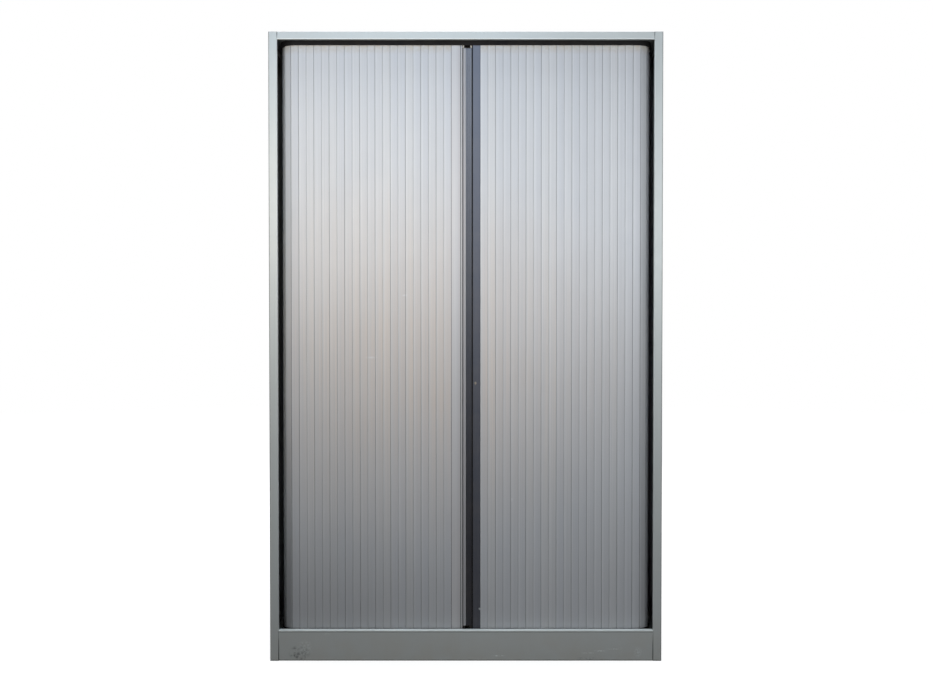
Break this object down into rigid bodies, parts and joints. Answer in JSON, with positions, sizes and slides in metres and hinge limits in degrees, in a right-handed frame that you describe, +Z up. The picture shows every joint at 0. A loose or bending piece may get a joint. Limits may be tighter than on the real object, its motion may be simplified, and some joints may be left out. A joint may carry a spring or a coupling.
{
  "type": "tambour cupboard",
  "caption": "Tall sheet-steel cupboard with side-opening slatted roll-front doors, a plinth and adjustable shelves inside.",
  "frame": {"origin": "centre of the base, on the floor", "axes": "+Z up, -Y towards the doors, +X to the right seen from the front"},
  "size_m": [1, 0.43, 1.6],
  "materials": {
    "case_paint": "satin silver-grey stoved enamel",
    "inner_paint": "satin silver-grey stoved enamel",
    "track_plastic": "matt black",
    "slat_plastic": "satin silver-grey",
    "stile_silver": "satin anodised",
    "stile_anthracite": "satin anthracite",
    "glide_nylon": "natural white nylon",
    "seal_rubber": "matt black",
    "zinc_steel": "zinc plated",
    "foot_steel": "zinc plated"
  },
  "bodies": {
    "carcass": {"right_side_panel": "case_paint", "left_side_panel": "case_paint", "top_panel": "case_paint", "back_panel": "case_paint", "plinth_panel": "case_paint", "base_tray": "inner_paint", "track_carrier": "inner_paint", "bottom_rail_right": "track_plastic", "bottom_rail_left": "track_plastic", "top_rail_right": "track_plastic", "top_rail_left": "track_plastic", "right_pocket_slats": "slat_plastic", "left_pocket_slats": "slat_plastic", "right_inner_side": "inner_paint", "left_inner_side": "inner_paint", "inner_back_panel": "inner_paint", "floor_panel": "inner_paint", "shelf_clips": "zinc_steel", "foot_brackets": "inner_paint", "lower_shelf": "inner_paint", "middle_shelf": "inner_paint", "upper_shelf": "inner_paint"},
    "left_door": {"left_lead_stile": "stile_silver", "left_grip_strip": "stile_anthracite", "left_stile_bottom_glide": "glide_nylon", "left_stile_top_glide": "glide_nylon", "left_front_slats": "slat_plastic"},
    "right_door": {"right_lead_stile": "stile_anthracite", "right_stile_bottom_glide": "glide_nylon", "right_stile_top_glide": "glide_nylon", "meeting_seal": "seal_rubber", "right_front_slats": "slat_plastic"},
    "foot_front_left": {"levelling_foot_front_left": "foot_steel"},
    "foot_front_right": {"levelling_foot_front_right": "foot_steel"},
    "foot_rear_left": {"levelling_foot_rear_left": "foot_steel"},
    "foot_rear_right": {"levelling_foot_rear_right": "foot_steel"}
  },
  "joints": [
    {"name": "left_door_slide", "type": "slide", "parent": "carcass", "child": "left_door", "axis": [-1, 0, 0], "range_m": [0, 0.39], "deforming": ["left_front_slats"]},
    {"name": "right_door_slide", "type": "slide", "parent": "carcass", "child": "right_door", "axis": [1, 0, 0], "range_m": [0, 0.39], "deforming": ["right_front_slats"]},
    {"name": "foot_front_left_screw", "type": "slide", "parent": "carcass", "child": "foot_front_left", "axis": [0, 0, -1], "range_m": [0, 0.012]},
    {"name": "foot_front_right_screw", "type": "slide", "parent": "carcass", "child": "foot_front_right", "axis": [0, 0, -1], "range_m": [0, 0.012]},
    {"name": "foot_rear_left_screw", "type": "slide", "parent": "carcass", "child": "foot_rear_left", "axis": [0, 0, -1], "range_m": [0, 0.012]},
    {"name": "foot_rear_right_screw", "type": "slide", "parent": "carcass", "child": "foot_rear_right", "axis": [0, 0, -1], "range_m": [0, 0.012]}
  ]
}
